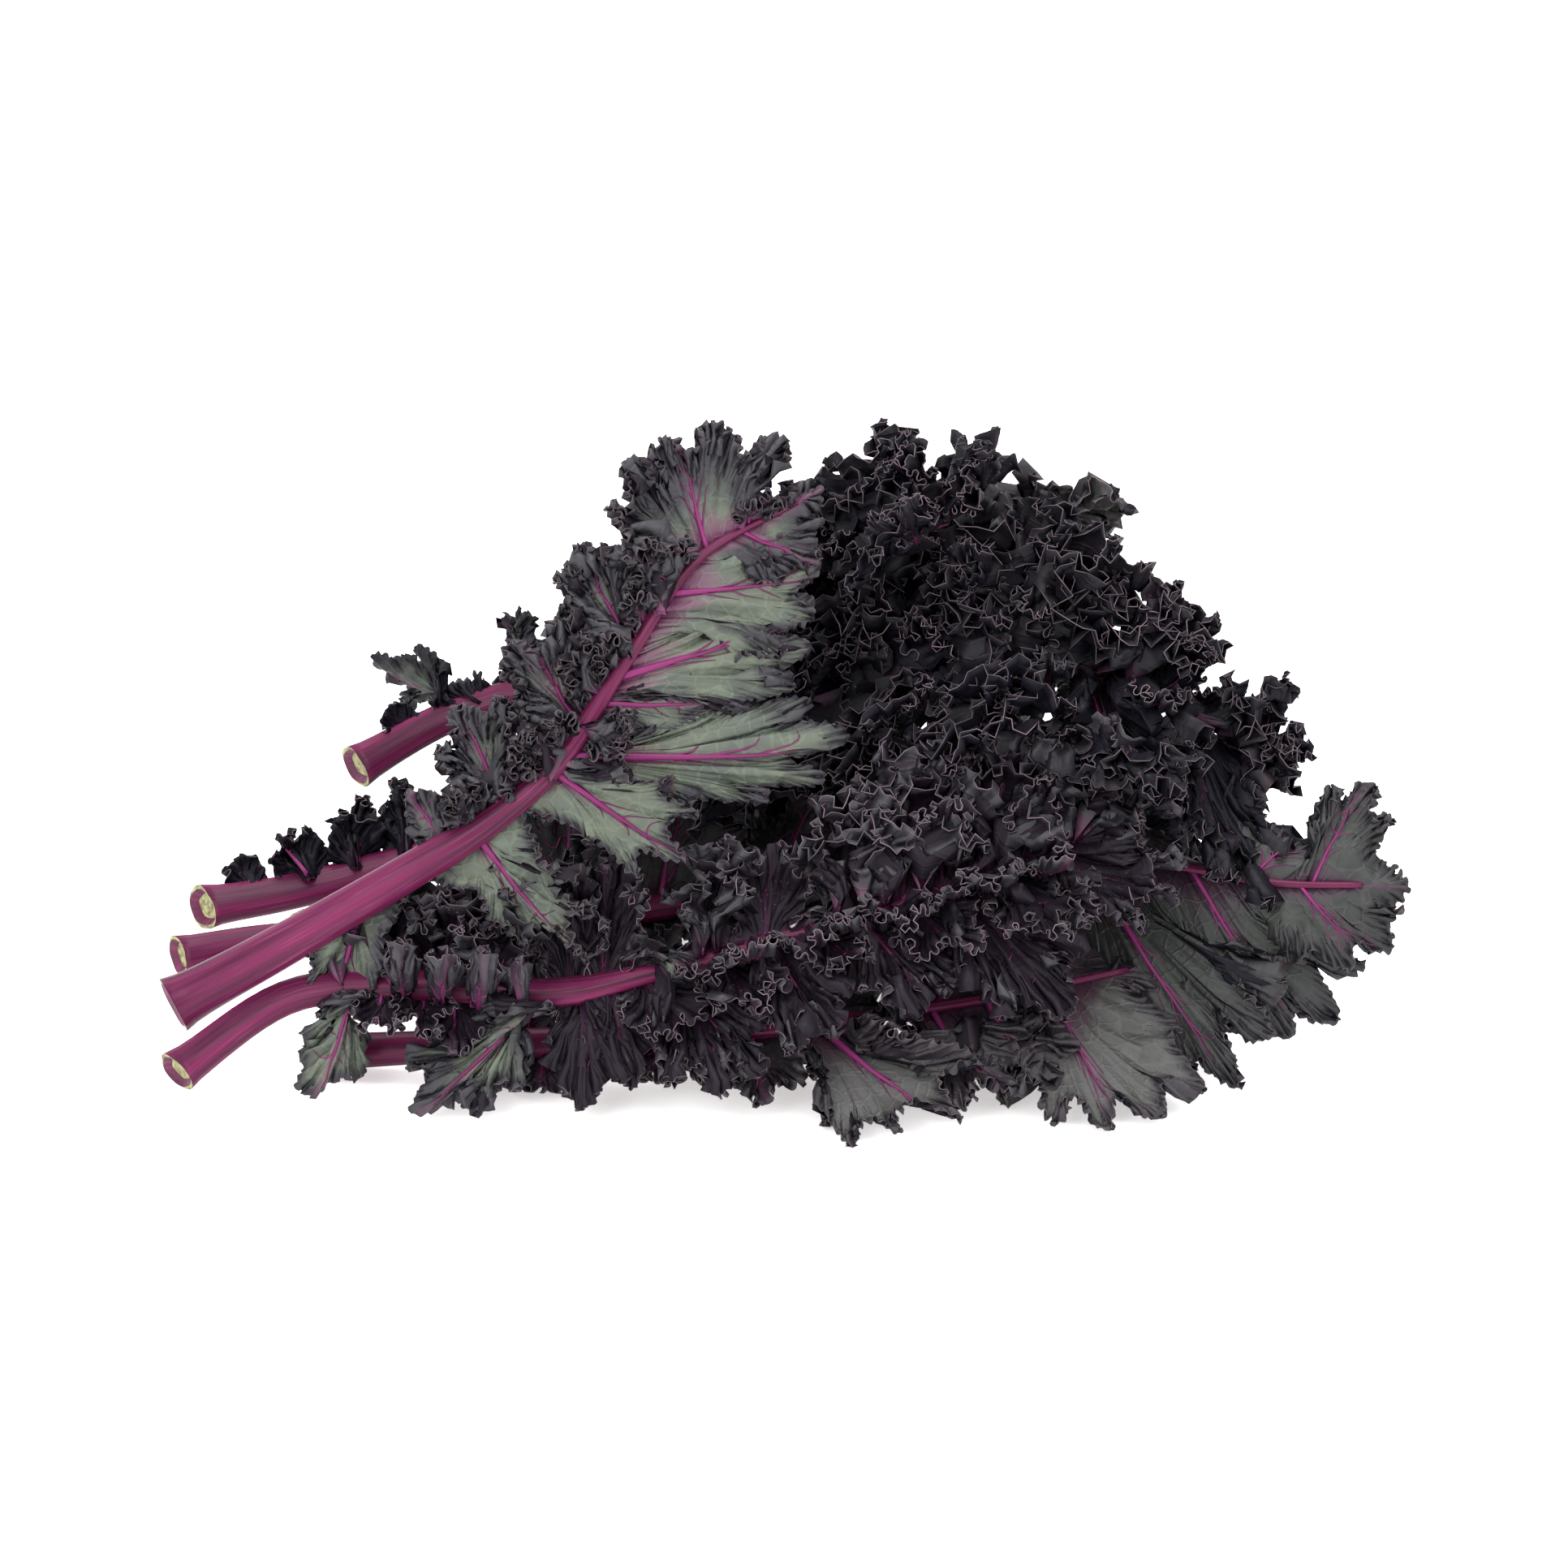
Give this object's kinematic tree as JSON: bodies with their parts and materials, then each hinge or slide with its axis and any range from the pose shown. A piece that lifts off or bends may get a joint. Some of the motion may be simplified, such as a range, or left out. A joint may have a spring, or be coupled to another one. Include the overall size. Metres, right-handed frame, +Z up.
{
  "type": "purple kale bunch",
  "caption": "Loose bunch of curly purple kale lying on its side, cut stalks together at one end and frilled dark leaves heaped at the other.",
  "frame": {"origin": "on the table, under the middle of the bunch's bounding box", "axes": "+X from the cut stalks to the leaf tips, +Y to the back of the heap, +Z up from the table"},
  "size_m": [0.3881, 0.2269, 0.1945],
  "materials": {
    "stalk": "fresh magenta-purple leaf stalk, satin, lighter lengthwise streaks, pale green cut end",
    "blade": "waxy curly leaf, near-black purple on the upper side, grey-green with magenta veins on the underside"
  },
  "bodies": {
    "root": {"front_leaf_stalk": "stalk", "front_leaf_blade": "blade", "shoulder_leaf_stalk": "stalk", "shoulder_leaf_blade": "blade", "crown_leaf_stalk": "stalk", "crown_leaf_blade": "blade", "long_leaf_stalk": "stalk", "long_leaf_blade": "blade", "lap_leaf_stalk": "stalk", "lap_leaf_blade": "blade", "bed_leaf_stalk": "stalk", "bed_leaf_blade": "blade", "rear_leaf_stalk": "stalk", "rear_leaf_blade": "blade", "rear_bed_leaf_stalk": "stalk", "rear_bed_leaf_blade": "blade", "core_leaf_stalk": "stalk", "core_leaf_blade": "blade"}
  },
  "joints": []
}
